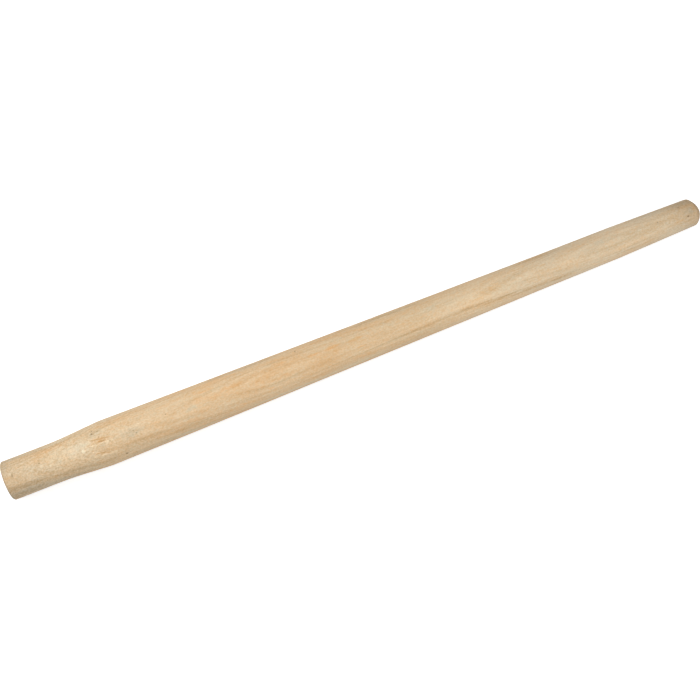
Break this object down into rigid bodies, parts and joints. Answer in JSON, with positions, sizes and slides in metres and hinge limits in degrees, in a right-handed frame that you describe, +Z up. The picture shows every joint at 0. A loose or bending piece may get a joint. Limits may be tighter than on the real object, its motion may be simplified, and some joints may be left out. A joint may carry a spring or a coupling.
{
  "type": "splitting maul handle",
  "caption": "Straight round wooden handle for a splitting maul, with a parallel tenon, a swelled shoulder, a long taper and a domed butt.",
  "frame": {"origin": "centre of the tenon's flat end face, on the handle's axis", "axes": "+X along the handle from the tenon to the domed butt, +Z up as it lies"},
  "size_m": [0.8, 0.0486, 0.0484],
  "materials": {
    "wood": "bare turned hardwood, unsealed, with fine tool marks"
  },
  "bodies": {
    "root": {"handle": "wood"}
  },
  "joints": []
}
